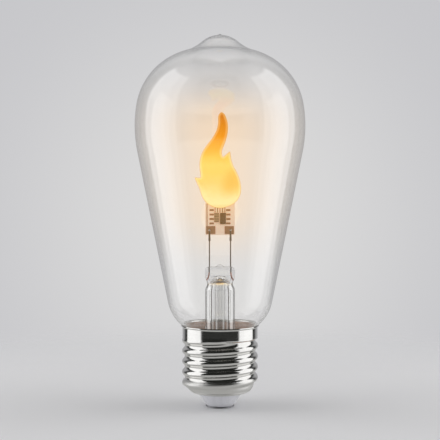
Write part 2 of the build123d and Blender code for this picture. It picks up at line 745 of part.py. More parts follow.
parts["glass_stem"] = stem
parts["exhaust_tube"] = exhaust_tube()

# LED board
parts["led_board"] = board
parts["board_tracks"] = copper
chip_z = BOARD_Z + CHIP_RISE
chip_x = (CHIP_ROW_W - CONTROLLER_W) / 2
array_w = CHIP_ROW_W - CONTROLLER_W - CHIP_GAP
array_z = chip_z + CONTROLLER_H - RESISTOR_ARRAY_H
parts["flicker_controller"] = block(
    (CONTROLLER_W, CONTROLLER_T, CONTROLLER_H), chip_x, BOARD_Y - CONTROLLER_T / 2, chip_z
)
parts["resistor_array"] = block(
    (array_w, RESISTOR_ARRAY_T, RESISTOR_ARRAY_H),
    (array_w - CHIP_ROW_W) / 2,
    BOARD_Y - RESISTOR_ARRAY_T / 2,
    array_z,
)

# Flame, moulded over the tongue and its LEDs
flame = flame_blank() - board - copper
for side, side_y in (("front", -1), ("back", 1)):
    for row in range(LED_ROWS):
        light = led(row, side_y)
        parts["led_" + side + "_" + str(row + 1)] = light
        flame -= light
parts["flame_diffuser"] = flame

# Driver
driver = rod(2 * DRIVER_R, DRIVER_T, 0, 0, DRIVER_Z)
fuse = fusible_resistor()
neutral = neutral_wire()
for pin in (live_wire, fuse, neutral, parts["lead_tail_left"], parts["lead_tail_right"]):
    driver -= pin
solder_place = Pos(0, ROOT_BORE_R + NEUTRAL_SOLDER_SINK - NEUTRAL_SOLDER_R, NEUTRAL_Z)
parts["driver_board"] = driver
parts["fusible_resistor"] = fuse
parts["neutral_wire"] = neutral
parts["neutral_solder"] = solder_place * Sphere(NEUTRAL_SOLDER_R) - cap_shell - neutral
parts["bridge_rectifier"] = chip_package(RECTIFIER_SIZE, -1, RECTIFIER_INSET)
parts["current_regulator"] = chip_package(REGULATOR_SIZE, 1, REGULATOR_INSET)
parts["smoothing_capacitor"] = smoothing_capacitor()

os.makedirs("parts", exist_ok=True)
for name, shape in parts.items():
    export_step(shape, "parts/" + name + ".step")
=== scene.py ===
"""The looks of the flame effect LED bulb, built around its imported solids.

Sizes are written in millimetres, as in the model's source, and become metres where a mesh is made.
The front of the lamp faces -Y and its axis is Z. A profile is an array of (radius, height) points.
"""

import bmesh
import bpy
import numpy as np
from mathutils.geometry import delaunay_2d_cdt
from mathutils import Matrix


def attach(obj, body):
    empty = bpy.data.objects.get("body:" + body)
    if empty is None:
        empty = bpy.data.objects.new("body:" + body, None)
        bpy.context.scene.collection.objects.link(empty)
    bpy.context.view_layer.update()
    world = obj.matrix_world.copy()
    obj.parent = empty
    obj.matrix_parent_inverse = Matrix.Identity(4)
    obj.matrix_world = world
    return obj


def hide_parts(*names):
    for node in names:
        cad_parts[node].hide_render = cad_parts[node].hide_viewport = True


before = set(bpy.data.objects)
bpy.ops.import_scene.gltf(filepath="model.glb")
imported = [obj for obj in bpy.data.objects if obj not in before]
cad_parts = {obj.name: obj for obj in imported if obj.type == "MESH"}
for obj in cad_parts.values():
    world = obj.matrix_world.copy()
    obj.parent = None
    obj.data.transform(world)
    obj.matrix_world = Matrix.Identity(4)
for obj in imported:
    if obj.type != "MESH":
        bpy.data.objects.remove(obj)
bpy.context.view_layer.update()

MM = 0.001

# Camera, at the distance and height that the perspective of the cap's rim gives
CAMERA_PLACE = (0.0, -0.3114, 0.0643)
CAMERA_LENS = 73.64

# Blown glass
GLASS_WALL = 0.8
GLOBE_D = 58.8
NECK_D = 23.0
NECK_BOTTOM_Z = 20.441
NECK_FILLET_Z = 25.241
NECK_FILLET_R = 3.0
SHOULDER_R = 14.0
SHOULDER_ANGLE = -53.0
TAPER_ANGLE = -11.5
SIDE_R = 45.0
SIDE_TOP_ANGLE = 9.6
CROWN_R = 22.5
CROWN_TOP_ANGLE = 72.3
PIP_HOLLOW_R = 20.0
PIP_ANGLE = 49.0
NUB_R = 1.1
NUB_H = 0.45

# Glass stem
STEM_R = 5.15
STEM_BORE_R = 3.3
STEM_TOP_Z = 40.2
LIP_H = 0.9
LIP_T = 1.0
WAIST_R = 4.4
WAIST_Z = 42.4
PRESS_Z = 44.8
PRESS_TOP_Z = 48.191
PRESS_HALF_T = 2.0
PRESS_CORNER_R = 1.5
PRESS_EDGE_R = 0.6
PRESS_SQUARENESS = 5.0
BEAD_SPREAD = (1.9, 1.6)
BEAD_H = 0.8
CAVITY_FOOT_Z = 41.0
CAVITY_TOP_Z = 43.3
CAVITY_DIP_Z = 41.8
TUBE_R = 1.63
TUBE_BORE_R = 1.1
TUBE_TIP_Z = 17.041
TUBE_TIP_H = 1.8
BUBBLE_Z = 43.6
BUBBLE_R = 1.2
BUBBLE_H = 1.4

# Screw shell
SHELL_WALL = 0.3
SHELL_BOTTOM_Z = 4.9
SHELL_HOLE_R = 7.4
BOWL_CENTRE_R = 8.31
BOWL_R = 3.3
BOWL_CONE = 12.0
BOWL_TOP_Z = 10.4
ROOT_R = 12.15
CREST_R = 13.1
THREAD_PITCH = 25.4 / 7
THREAD_START_Z = 7.45
THREAD_TURNS = 4.7
THREAD_ROUND = 1.1
THREAD_FADE = 0.22
SKIRT_Z = 23.7
SKIRT_STEP_H = 0.5
SKIRT_R = 12.95
ROLL_Z = 27.22
ROLL_R = 0.55
ROLL_ANGLE = -84.0

# Insulator
INSULATOR_FOOT_Z = 0.6
INSULATOR_FOOT_R = 4.75
INSULATOR_BULGE = 0.12
INSULATOR_INNER_Z = 6.8
LEDGE_Z = 8.0
LEDGE_WIDTH = 1.2

# Silicone flame; its outline is in shares of its width and height from the middle of its foot
FLAME_W = 15.8
FLAME_H = 33.4
FLAME_Z = 68.391
FLAME_MID_Y = 0.75
FLAME_HALF_T = 3.2
FLAME_TIP_HALF_T = 1.5
FLAME_ROUND = 2.3
FLAME_SMOOTH = 0.32
FLAME_SPACING = 0.34
FLAME_RING_DEPTHS = (0.025, 0.09, 0.2, 0.36)
FLAME_RIGHT = [
    (0.021, 1.0), (0.082, 0.987), (0.138, 0.937), (0.174, 0.868), (0.17, 0.794), (0.13, 0.705),
    (0.073, 0.635), (0.038, 0.586), (0.064, 0.53),
]
FLAME_BODY = [
    (0.224, 0.596), (0.239, 0.526), (0.287, 0.447), (0.375, 0.368), (0.442, 0.279), (0.463, 0.199),
    (0.429, 0.12), (0.339, 0.061), (0.176, 0.017), (0.0, 0.0), (-0.17, 0.017), (-0.314, 0.063),
    (-0.402, 0.13), (-0.452, 0.204), (-0.511, 0.264), (-0.563, 0.322),
]
FLAME_LEFT = [
    (-0.425, 0.316), (-0.431, 0.363), (-0.45, 0.427), (-0.446, 0.487), (-0.415, 0.551),
    (-0.348, 0.617), (-0.243, 0.683), (-0.138, 0.752), (-0.067, 0.823), (-0.04, 0.893),
    (-0.037, 0.96), (0.021, 1.0),
]

# Heights between which the flame's painted glow on the glass grows from nothing, and fades again
GLOW_FOOT = (44.0, 72.0)
GLOW_TOP = (96.0, 118.0)

# The part of the glass that mirrors the flame, up the axis and out from it, from none to all
MIRROR_FOOT = (99.0, 104.0)
MIRROR_EDGE = (12.0, 6.0)

# The darker patch on the right of the flame's face
PATCH_X = 4.3
PATCH_Z = 77.5

# The roof of the stem's cavity, painted brown as shade, with a painted gold highlight below the first
# height, ends at the second
ROOF_GLINT_Z = (42.7, 42.2)
ROOF_TOP_Z = (43.7, 43.4)

WELD = 1e-7
TURN_COLUMNS = 192
SHARP_ANGLE = np.radians(40)


# Shapes that the pieces share

def smooth_step(low, high, value):
    """0 below low, 1 above high, and 3t^2 - 2t^3 between them."""
    share = np.clip((value - low) / (high - low), 0, 1)
    return share * share * (3 - 2 * share)


def smooth_max(a, b, width):
    """The larger of two values, with the corner where they meet rounded: where they differ by less
    than the width, (width - difference)^2 / (4 width) is added."""
    return np.maximum(a, b) + np.clip(width - np.abs(a - b), 0, None) ** 2 / (4 * width)


def arc(centre, radius, start, end, count, inset=0.0):
    """Points of an arc: centre + (radius - inset) (cos n, sin n), for normals n that turn from start
    to end, in degrees above the horizontal. A hollow arc has a negative radius."""
    normal = np.radians(np.linspace(start, end, count))
    return np.array(centre) + (radius - inset) * np.stack([np.cos(normal), np.sin(normal)], axis=1)


def next_centre(joint, normal, radius):
    """The centre of an arc that carries on from a point without a corner."""
    turn = np.radians(normal)
    return joint - radius * np.array([np.cos(turn), np.sin(turn)])


def straight(start, end, count):
    """Points evenly spaced on a line, both ends included."""
    return np.linspace(start, end, count)


def joined(*stretches):
    """Stretches of a profile one after the other, without the points that two of them share."""
    points = np.vstack(stretches)
    steps = np.linalg.norm(np.diff(points, axis=0), axis=1)
    return points[np.append(True, steps > WELD / MM)]


def turned(profile, columns=TURN_COLUMNS):
    """A grid of points for a profile turned round the axis: (r cos a, r sin a, z), a going once round."""
    angle = np.linspace(0, 2 * np.pi, columns, endpoint=False)
    radius, height = profile[:, :1], profile[:, 1:]
    flat = [radius * np.cos(angle), radius * np.sin(angle), height + 0 * angle]
    return np.stack(flat, axis=-1)


def grid_faces(rows, columns, first=0, loop=False):
    """Quads between neighbouring points of a grid whose columns run once round. A loop also joins
    its last row to its first."""
    index = first + np.arange(rows * columns).reshape(rows, columns)
    low, high = (index, np.roll(index, -1, axis=0)) if loop else (index[:-1], index[1:])
    quads = [low, np.roll(low, -1, axis=1), np.roll(high, -1, axis=1), high]
    return np.stack(quads, axis=-1).reshape(-1, 4)


def welded_mesh(name, points, faces, sharp=SHARP_ANGLE):
    """A mesh in metres with its poles and seams welded and its faces turned outwards, which they are
    when the volume that they enclose is positive."""
    mesh = bpy.data.meshes.new(name)
    mesh.from_pydata((points * MM).tolist(), [], faces.tolist())
    work = bmesh.new()
    work.from_mesh(mesh)
    bmesh.ops.remove_doubles(work, verts=work.verts, dist=WELD)
    if work.calc_volume(signed=True) < 0:
        bmesh.ops.reverse_faces(work, faces=work.faces)
    work.to_mesh(mesh)
    work.free()
    mesh.shade_smooth()
    mesh.set_sharp_from_angle(angle=sharp)
    return mesh


def as_piece(mesh, finish, *nodes):
    """A piece of the lamp that stands for one or more of its solids."""
    piece = bpy.data.objects.new(mesh.name, mesh)
    bpy.context.scene.collection.objects.link(piece)
    mesh.materials.append(finish)
    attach(piece, "root")
    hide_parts(*nodes)
    return piece


def grids_mesh(name, *grids, loop=False):
    """One mesh from one or more grids of points."""
    points, faces, first = [], [], 0
    for grid in grids:
        rows, columns = grid.shape[:2]
        points.append(grid.reshape(-1, 3))
        faces.append(grid_faces(rows, columns, first, loop))
        first += rows * columns
    return welded_mesh(name, np.vstack(points), np.vstack(faces))


# The blown glass

def glass_profile(inset):
    """The glass at one depth in its wall, from the foot of the neck up to the pole. Each arc carries
    on from the last: a hollow fillet, the shoulder, a straight taper, the side, the crown, the
    hollow below the pip and the pip."""
    def end_of(centre, radius, normal):
        return arc(centre, radius, normal, normal, 1)[0]

    neck_centre = np.array([NECK_D / 2 + NECK_FILLET_R, NECK_FILLET_Z])
    joint = end_of(neck_centre, -NECK_FILLET_R, SHOULDER_ANGLE)
    shoulder_centre = next_centre(joint, SHOULDER_ANGLE, SHOULDER_R)
    taper_foot = end_of(shoulder_centre, SHOULDER_R, TAPER_ANGLE)
    slope = np.radians(-TAPER_ANGLE)
    side_r = GLOBE_D / 2 - SIDE_R
    taper_rise = (side_r + SIDE_R * np.cos(slope) - taper_foot[0]) / np.tan(slope)
    side_centre = np.array([side_r, taper_foot[1] + taper_rise + SIDE_R * np.sin(slope)])
    joint = end_of(side_centre, SIDE_R, SIDE_TOP_ANGLE)
    crown_centre = next_centre(joint, SIDE_TOP_ANGLE, CROWN_R)
    joint = end_of(crown_centre, CROWN_R, CROWN_TOP_ANGLE)
    hollow_centre = next_centre(joint, CROWN_TOP_ANGLE, -PIP_HOLLOW_R)
    joint = end_of(hollow_centre, -PIP_HOLLOW_R, PIP_ANGLE)
    pip_r = joint[0] / np.cos(np.radians(PIP_ANGLE))
    pip_centre = next_centre(joint, PIP_ANGLE, pip_r)

    foot = np.array([NECK_D / 2 - inset, NECK_BOTTOM_Z])
    fillet = arc(neck_centre, -NECK_FILLET_R, 0, SHOULDER_ANGLE, 12, inset)
    shoulder = arc(shoulder_centre, SHOULDER_R, SHOULDER_ANGLE, TAPER_ANGLE, 22, inset)
    side = arc(side_centre, SIDE_R, TAPER_ANGLE, SIDE_TOP_ANGLE, 26, inset)
    crown = arc(crown_centre, CROWN_R, SIDE_TOP_ANGLE, CROWN_TOP_ANGLE, 44, inset)
    hollow = arc(hollow_centre, -PIP_HOLLOW_R, CROWN_TOP_ANGLE, PIP_ANGLE, 16, inset)
    pip = arc(pip_centre, pip_r, PIP_ANGLE, 90, 26, inset)
    pip[-1, 0] = 0
    taper = straight(shoulder[-1], side[0], 28)
    return joined(straight(foot, fillet[0], 8), fillet, shoulder, taper, side, crown, hollow, pip)


def glass_envelope_mesh():
    """The blown glass: the outer profile up to its pole and the inner one back down, turned round
    the axis. The drop of glass on the pip lifts the outer profile by h (1 + cos(pi r / R)) / 2."""
    outer = glass_profile(0)
    share = np.clip(outer[:, 0] / NUB_R, 0, 1)
    on_pip = outer[:, 1] > outer[-1, 1] - NUB_R
    outer[:, 1] += on_pip * NUB_H * (1 + np.cos(np.pi * share)) / 2
    walls = turned(outer), turned(glass_profile(GLASS_WALL)[::-1])
    rim = np.stack([walls[1][-1], walls[0][0]])
    points = np.vstack([wall.reshape(-1, 3) for wall in (*walls, rim)])
    sizes = [wall.shape[0] for wall in (*walls, rim)]
    starts = np.cumsum([0] + [rows * TURN_COLUMNS for rows in sizes])
    faces = [grid_faces(rows, TURN_COLUMNS, first) for rows, first in zip(sizes, starts)]
    return welded_mesh("glass_envelope_blown", points, np.vstack(faces))


# The glass stem

def section(half_w, half_t, squareness, height, columns=128):
    """A ring of points: (w sgn(c)|c|^(2/n), t sgn(s)|s|^(2/n), z), where c and s are the cosine and
    sine of the turn and n is 2 for an ellipse and more for a rounded rectangle."""
    angle = np.linspace(0, 2 * np.pi, columns, endpoint=False)
    c, s = np.cos(angle), np.sin(angle)
    power = 2 / squareness[:, None]
    x = half_w[:, None] * np.sign(c) * np.abs(c) ** power
    y = half_t[:, None] * np.sign(s) * np.abs(s) ** power
    return np.stack([x, y, height[:, None] + 0 * angle], axis=-1)


def glass_stem_mesh():
    """The stem with the exhaust tube melted into it. Rings of the outside grow from a point on top,
    over the corners of the flat press, and turn from rounded rectangles into circles below it. The
    profile then runs down the flare, in at its lip, up the bell and the bore, over the arched roof of
    the cavity and down the outside of the exhaust tube to its tip. The tube's bore is a closed hollow
    of its own that ends in the bubble."""
    grow = np.linspace(0, 1, 22)
    corner = np.radians(np.linspace(90, 0, 12))
    top_w = STEM_R - PRESS_CORNER_R
    top_t = PRESS_HALF_T - PRESS_EDGE_R
    half_w = np.append(grow * top_w, STEM_R - PRESS_CORNER_R * (1 - np.cos(corner)))
    half_t = np.append(grow * top_t, PRESS_HALF_T - PRESS_EDGE_R * (1 - np.cos(corner)))
    height = np.append(0 * grow + PRESS_TOP_Z, PRESS_TOP_Z - PRESS_CORNER_R * (1 - np.sin(corner)))
    press = section(half_w, half_t, np.full(height.shape, PRESS_SQUARENESS), height)
    spread = np.hypot(press[..., 0] / BEAD_SPREAD[0], press[..., 1] / BEAD_SPREAD[1])
    bead = BEAD_H * (1 + np.cos(np.pi * np.clip(spread, 0, 1))) / 2
    press[..., 2] += bead * (press[..., 2] > PRESS_TOP_Z - WELD)

    z = np.linspace(PRESS_TOP_Z - PRESS_CORNER_R, STEM_TOP_Z, 40)[1:]
    waist = smooth_step(STEM_TOP_Z, WAIST_Z, z) * (1 - smooth_step(WAIST_Z, PRESS_Z, z))
    flat = smooth_step(WAIST_Z - 1, PRESS_Z + 0.6, z)
    shoulder = section(
        STEM_R - (STEM_R - WAIST_R) * waist,
        STEM_R - (STEM_R - WAIST_R) * waist - (STEM_R - PRESS_HALF_T) * flat,
        2 + (PRESS_SQUARENESS - 2) * smooth_step(WAIST_Z, PRESS_Z + 1, z),
        z,
    )

    neck_bore_r = NECK_D / 2 - GLASS_WALL
    lip_top_z = NECK_BOTTOM_Z + LIP_H
    flare_r = neck_bore_r - STEM_R
    flare = arc((neck_bore_r, lip_top_z + flare_r), -flare_r, 0, 90, 26)
    bell_r = neck_bore_r - LIP_T - STEM_BORE_R
    bell = arc((STEM_BORE_R + bell_r, NECK_BOTTOM_Z + bell_r), -bell_r, 90, 0, 26)
    lip = straight((neck_bore_r, NECK_BOTTOM_Z), bell[0], 3)
    bore = straight(bell[-1], (STEM_BORE_R, CAVITY_FOOT_Z), 14)
    rise = np.radians(np.linspace(0, 90, 20))[:, None]
    arch = np.radians(np.linspace(0, 180, 32))[:, None]
    foot_z = np.where(arch < np.pi / 2, CAVITY_FOOT_Z, CAVITY_DIP_Z)
    cavity = np.hstack([
        (STEM_BORE_R + TUBE_R) / 2 + (STEM_BORE_R - TUBE_R) / 2 * np.cos(arch),
        foot_z + (CAVITY_TOP_Z - foot_z) * np.sin(arch),
    ])
    tip_brow_z = TUBE_TIP_Z + TUBE_TIP_H
    tube = straight((TUBE_R, CAVITY_DIP_Z), (TUBE_R, tip_brow_z), 24)
    tip = np.hstack([TUBE_R * np.cos(rise), tip_brow_z - TUBE_TIP_H * np.sin(rise)])
    tip[-1, 0] = 0
    trunk = straight((STEM_R, STEM_TOP_Z - 0.5), flare[0], 12)
    lower = joined(trunk, flare, lip, bell, bore, cavity, tube, tip)
    skin = np.concatenate([press, shoulder, turned(lower, press.shape[1])])

    half_way = TUBE_TIP_H / 2
    floor = np.hstack([TUBE_BORE_R * np.sin(rise), tip_brow_z - half_way * np.cos(rise)])
    bubble = np.hstack([BUBBLE_R * np.cos(rise), BUBBLE_Z + BUBBLE_H * np.sin(rise)])
    floor[0, 0] = bubble[-1, 0] = 0
    sides = straight((TUBE_BORE_R, tip_brow_z), (TUBE_BORE_R, BUBBLE_Z - 0.4), 24)
    hollow = turned(joined(floor, sides, bubble)[::-1], press.shape[1])
    return grids_mesh("glass_stem_pressed", skin, hollow[:, ::-1])


# The cap

def shell_profile(inset):
    """The screw shell without its thread at one depth in its sheet, from the hole in its bottom to
    its rolled lip: a flat ring, the bowl's arc, a cone, the thread's root, the skirt and the roll."""
    bowl = arc((BOWL_CENTRE_R, SHELL_BOTTOM_Z + BOWL_R), BOWL_R, -90, -BOWL_CONE, 26, inset)
    ring = straight((SHELL_HOLE_R, SHELL_BOTTOM_Z + inset), bowl[0], 4)
    cone = straight(bowl[-1], (ROOT_R - inset, BOWL_TOP_Z), 14)
    z = np.linspace(BOWL_TOP_Z, SKIRT_Z - SKIRT_STEP_H, 76)
    root = np.stack([0 * z + ROOT_R - inset, z], axis=1)
    z = np.linspace(SKIRT_Z - SKIRT_STEP_H, SKIRT_Z, 9)
    step = smooth_step(SKIRT_Z - SKIRT_STEP_H, SKIRT_Z, z)
    step = np.stack([ROOT_R + (SKIRT_R - ROOT_R) * step - inset, z], axis=1)
    roll = arc((SKIRT_R + ROLL_R, ROLL_Z), -ROLL_R, 0, ROLL_ANGLE, 14, inset)
    skirt = straight((SKIRT_R - inset, SKIRT_Z), roll[0], 12)
    return joined(ring, bowl, cone, root, step, skirt, roll)


def threaded(profile, inset, columns=224):
    """A profile of the shell turned round the axis, with the rolled thread raised on it. A crest is
    at the height z0 + pitch t after t turns from the back. Across it the sheet is an arc, then two
    straight flanks, and the smooth maximum of crest and root rounds the valley between two turns.
    The first and last part of a turn sink into the shell."""
    angle = np.linspace(0, 2 * np.pi, columns, endpoint=False)
    base, z = profile[:, :1], profile[:, 1:]
    round_share = np.mod(angle / (2 * np.pi) - 0.25, 1)
    turns = (z - THREAD_START_Z) / THREAD_PITCH - round_share
    nearest = np.round(turns)
    off = np.abs(turns - nearest) * THREAD_PITCH
    along = nearest + round_share

    flank = np.arcsin(THREAD_PITCH / 4 / THREAD_ROUND)
    crest_r = THREAD_ROUND - inset
    touch = crest_r * np.sin(flank)
    arch = np.sqrt(crest_r**2 - np.minimum(off, touch) ** 2)
    ridge = CREST_R - THREAD_ROUND + arch - np.clip(off - touch, 0, None) * np.tan(flank)
    shown = smooth_step(0, THREAD_FADE, along)
    shown = shown * (1 - smooth_step(THREAD_TURNS - THREAD_FADE, THREAD_TURNS, along))
    ridge = ridge - (1 - shown) * 2 * THREAD_ROUND

    valley = smooth_step(BOWL_TOP_Z - 2, BOWL_TOP_Z, z) * (1 - smooth_step(SKIRT_Z - 1, SKIRT_Z, z))
    radius = smooth_max(base, ridge, 0.25 + 0.65 * valley)
    radius = np.where(z < SHELL_BOTTOM_Z + BOWL_R / 4, base, radius)
    return np.stack([radius * np.cos(angle), radius * np.sin(angle), z + 0 * angle], axis=-1)


def cap_shell_mesh():
    """The screw shell as a closed sheet: its outside up to the lip, then its inside back down."""
    outside = threaded(shell_profile(0), 0)
    inside = threaded(shell_profile(SHELL_WALL), SHELL_WALL)[::-1]
    return grids_mesh("cap_shell_rolled", np.concatenate([outside, inside]), loop=True)


def cap_insulator_mesh():
    """The insulator turned round the axis: a foot, a side that bulges outwards by a parabola, then
    the disc and the ledge inside the shell."""
    foot = np.array([INSULATOR_FOOT_R, INSULATOR_FOOT_Z])
    brow = np.array([SHELL_HOLE_R, SHELL_BOTTOM_Z])
    share = np.linspace(0, 1, 20)[:, None]
    outwards = np.array([1, -1]) * INSULATOR_BULGE
    side = foot + (brow - foot) * share + outwards * 4 * share * (1 - share)
    inner_z = SHELL_BOTTOM_Z + SHELL_WALL
    corners = [
        brow, (brow[0], inner_z), (BOWL_CENTRE_R, inner_z), (BOWL_CENTRE_R, LEDGE_Z),
        (BOWL_CENTRE_R - LEDGE_WIDTH, LEDGE_Z), (BOWL_CENTRE_R - LEDGE_WIDTH, INSULATOR_INNER_Z),
        (0, INSULATOR_INNER_Z),
    ]
    rest = [straight(a, b, 4) for a, b in zip(corners, corners[1:])]
    base = straight((0, INSULATOR_FOOT_Z), foot, 8)
    return grids_mesh("cap_insulator_moulded", turned(joined(base, side, *rest), 128))


# The flame

def spline_through(points, per_span=24):
    """A cubic curve through points: in each span, Hermite's cubic with slopes from the chords on both
    sides, each weighted by the other's length."""
    points = np.array(points)
    chord = np.linalg.norm(np.diff(points, axis=0), axis=1)
    rate = np.diff(points, axis=0) / chord[:, None]
    inner = (rate[:-1] * chord[1:, None] + rate[1:] * chord[:-1, None]) / (
        chord[1:, None] + chord[:-1, None]
    )
    first = 1.5 * rate[:1] - 0.5 * inner[:1]
    last = 1.5 * rate[-1:] - 0.5 * inner[-1:]
    slope = np.vstack([first, inner, last])
    t = np.linspace(0, 1, per_span, endpoint=False)[None, :, None]
    a, b = points[:-1, None], points[1:, None]
    reach = chord[:, None, None]
    curve = (
        (2 * t**3 - 3 * t**2 + 1) * a + (3 * t**2 - 2 * t**3) * b
        + (t**3 - 2 * t**2 + t) * reach * slope[:-1, None]
        + (t**3 - t**2) * reach * slope[1:, None]
    )
    return curve.reshape(-1, 2)


def flame_outline(count=560):
    """The flame's closed outline in millimetres, evenly spaced. A moving average along it, weighted
    by a bell curve, rounds its tips and notches."""
    size = np.array([FLAME_W, FLAME_H])
    curves = [spline_through(np.array(run) * size) for run in (FLAME_RIGHT, FLAME_BODY, FLAME_LEFT)]
    outline = np.vstack([curves[0], [size * FLAME_RIGHT[-1]], curves[1], [size * FLAME_BODY[-1]],
                         curves[2]])

    def evenly(loop):
        closed = np.vstack([loop, loop[:1]])
        length = np.append(0, np.cumsum(np.linalg.norm(np.diff(closed, axis=0), axis=1)))
        at = np.linspace(0, length[-1], count, endpoint=False)
        return np.stack([np.interp(at, length, closed[:, i]) for i in (0, 1)], axis=1), length[-1]

    outline, total = evenly(outline)
    step = total / count
    reach = int(3 * FLAME_SMOOTH / step) + 1
    offsets = np.arange(-reach, reach + 1)
    weights = np.exp(-0.5 * (offsets * step / FLAME_SMOOTH) ** 2)
    rolled = np.stack([np.roll(outline, -o, axis=0) for o in offsets])
    outline = np.tensordot(weights / weights.sum(), rolled, axes=1)
    return evenly(outline)[0]


def depth_inside(points, outline):
    """How far each point lies inside the outline: its distance to the nearest edge, negative outside.
    A point is inside when a ray from it crosses the outline an odd number of times."""
    a, b = outline, np.roll(outline, -1, axis=0)
    edge = b - a
    off = points[:, None] - a[None]
    share = np.clip((off * edge).sum(-1) / (edge * edge).sum(-1), 0, 1)
    distance = np.linalg.norm(off - share[..., None] * edge, axis=-1).min(axis=1)
    px, pz = points[:, :1], points[:, 1:]
    straddles = (a[:, 1] > pz) != (b[:, 1] > pz)
    rise = np.where(edge[:, 1] == 0, 1, edge[:, 1])
    crosses = straddles & (px < a[:, 0] + (pz - a[:, 1]) * edge[:, 0] / rise)
    return np.where(crosses.sum(axis=1) % 2 == 1, distance, -distance)


def flame_mesh():
    """The flame: a flat net of triangles inside its outline, lifted to the front and to the back by
    h sqrt(1 - (1 - min(d / e, 1))^2), where d is the depth inside the outline, e the width of the
    rounded edge and h half the thickness, which falls towards the tip."""
    outline = flame_outline()
    along = np.roll(outline, -1, axis=0) - np.roll(outline, 1, axis=0)
    along /= np.linalg.norm(along, axis=1)[:, None]
    area = np.sum(outline[:, 0] * np.roll(outline[:, 1], -1) - outline[:, 1] * np.roll(outline[:, 0], -1))
    inwards = np.stack([-along[:, 1], along[:, 0]], axis=1) * np.sign(area)
    rings = [outline + inwards * depth for depth in FLAME_RING_DEPTHS]
    rings = [ring[depth_inside(ring, outline) > 0.97 * depth]
             for ring, depth in zip(rings, FLAME_RING_DEPTHS)]
    low, high = outline.min(axis=0), outline.max(axis=0)
    x, z = np.meshgrid(*(np.arange(low[i], high[i], FLAME_SPACING) for i in (0, 1)))
    x = x + (np.arange(len(z)) % 2)[:, None] * FLAME_SPACING / 2
    net = np.stack([x.ravel(), z.ravel()], axis=1)
    net = net[depth_inside(net, outline) > FLAME_RING_DEPTHS[-1] + FLAME_SPACING / 2]
    flat = np.vstack([outline, *rings, net])
    count = len(outline)
    loop = [(i, (i + 1) % count) for i in range(count)]
    made = delaunay_2d_cdt([tuple(p) for p in flat], loop, [], 1, 1e-5)
    flat = np.array([tuple(p) for p in made[0]])
    triangles = np.array([face for face in made[2] if len(face) == 3])

    depth = np.clip(depth_inside(flat, outline), 0, None)
    depth[depth < 1e-3] = 0
    rounded = np.sqrt(1 - (1 - np.clip(depth / FLAME_ROUND, 0, 1)) ** 2)
    half = FLAME_HALF_T + (FLAME_TIP_HALF_T - FLAME_HALF_T) * flat[:, 1] / FLAME_H
    lift = half * rounded
    z = flat[:, 1] + FLAME_Z
    front = np.stack([flat[:, 0], FLAME_MID_Y - lift, z], axis=1)
    back = np.stack([flat[:, 0], FLAME_MID_Y + lift, z], axis=1)
    faces = np.vstack([triangles, triangles[:, ::-1] + len(flat)])
    mesh = welded_mesh("flame_moulded", np.vstack([front, back]), faces, sharp=np.pi)

    places = np.empty(len(mesh.vertices) * 3)
    mesh.vertices.foreach_get("co", places)
    places = places.reshape(-1, 3)[:, (0, 2)] / MM - (0, FLAME_Z)
    edge_depth = mesh.attributes.new("edge_depth", "FLOAT", "POINT")
    edge_depth.data.foreach_set("value", np.clip(depth_inside(places, outline), 0, None))
    return mesh


# Shader nodes and the materials made of them

def add(tree, kind, inputs=(), **settings):
    """A shader node with its settings; each input is given a value or the socket that feeds it."""
    node = tree.nodes.new("ShaderNode" + kind)
    for key, value in settings.items():
        setattr(node, key, value)
    for key, value in dict(inputs).items():
        if isinstance(value, bpy.types.NodeSocket):
            tree.links.new(value, node.inputs[key])
        else:
            node.inputs[key].default_value = value
    return node


def maths(tree, operation, *values):
    """The result of a Math node."""
    return add(tree, "Math", enumerate(values), operation=operation).outputs[0]


def blend(tree, factor, a, b, blend_type="MIX"):
    """The result of mixing two colours."""
    inputs = {"Factor": factor, 6: a, 7: b}
    return add(tree, "Mix", inputs, data_type="RGBA", blend_type=blend_type).outputs[2]


def stepped(tree, value, low, high, to_low=0.0, to_high=1.0):
    """The result of a smooth step of a value between two ends."""
    inputs = {"Value": value, 1: low, 2: high, 3: to_low, 4: to_high}
    return add(tree, "MapRange", inputs, interpolation_type="SMOOTHSTEP").outputs[0]


def metres(lengths):
    """Lengths in metres."""
    return [length * MM for length in lengths]


def object_place(tree):
    """Where a point of the surface is, in metres."""
    return add(tree, "TexCoord").outputs["Object"]


def ramp(tree, factor, stops):
    """A colour ramp with its stops at (place, colour)."""
    node = add(tree, "ValToRGB", {"Fac": factor})
    elements = node.color_ramp.elements
    while len(elements) < len(stops):
        elements.new(0.5)
    for element, (place, colour) in zip(elements, stops):
        element.position = place
        element.color = (*colour, 1)
    return node.outputs["Color"]


def node_group(name, inputs, outputs):
    """An empty node group with its sockets, and the sockets that its own nodes read and feed."""
    tree = bpy.data.node_groups.new(name, "ShaderNodeTree")
    for label, kind, value in inputs:
        socket = tree.interface.new_socket(label, in_out="INPUT", socket_type="NodeSocket" + kind)
        if kind != "Vector":
            socket.default_value = value
    for label, kind in outputs:
        tree.interface.new_socket(label, in_out="OUTPUT", socket_type="NodeSocket" + kind)
    return tree, tree.nodes.new("NodeGroupInput").outputs, tree.nodes.new("NodeGroupOutput").inputs


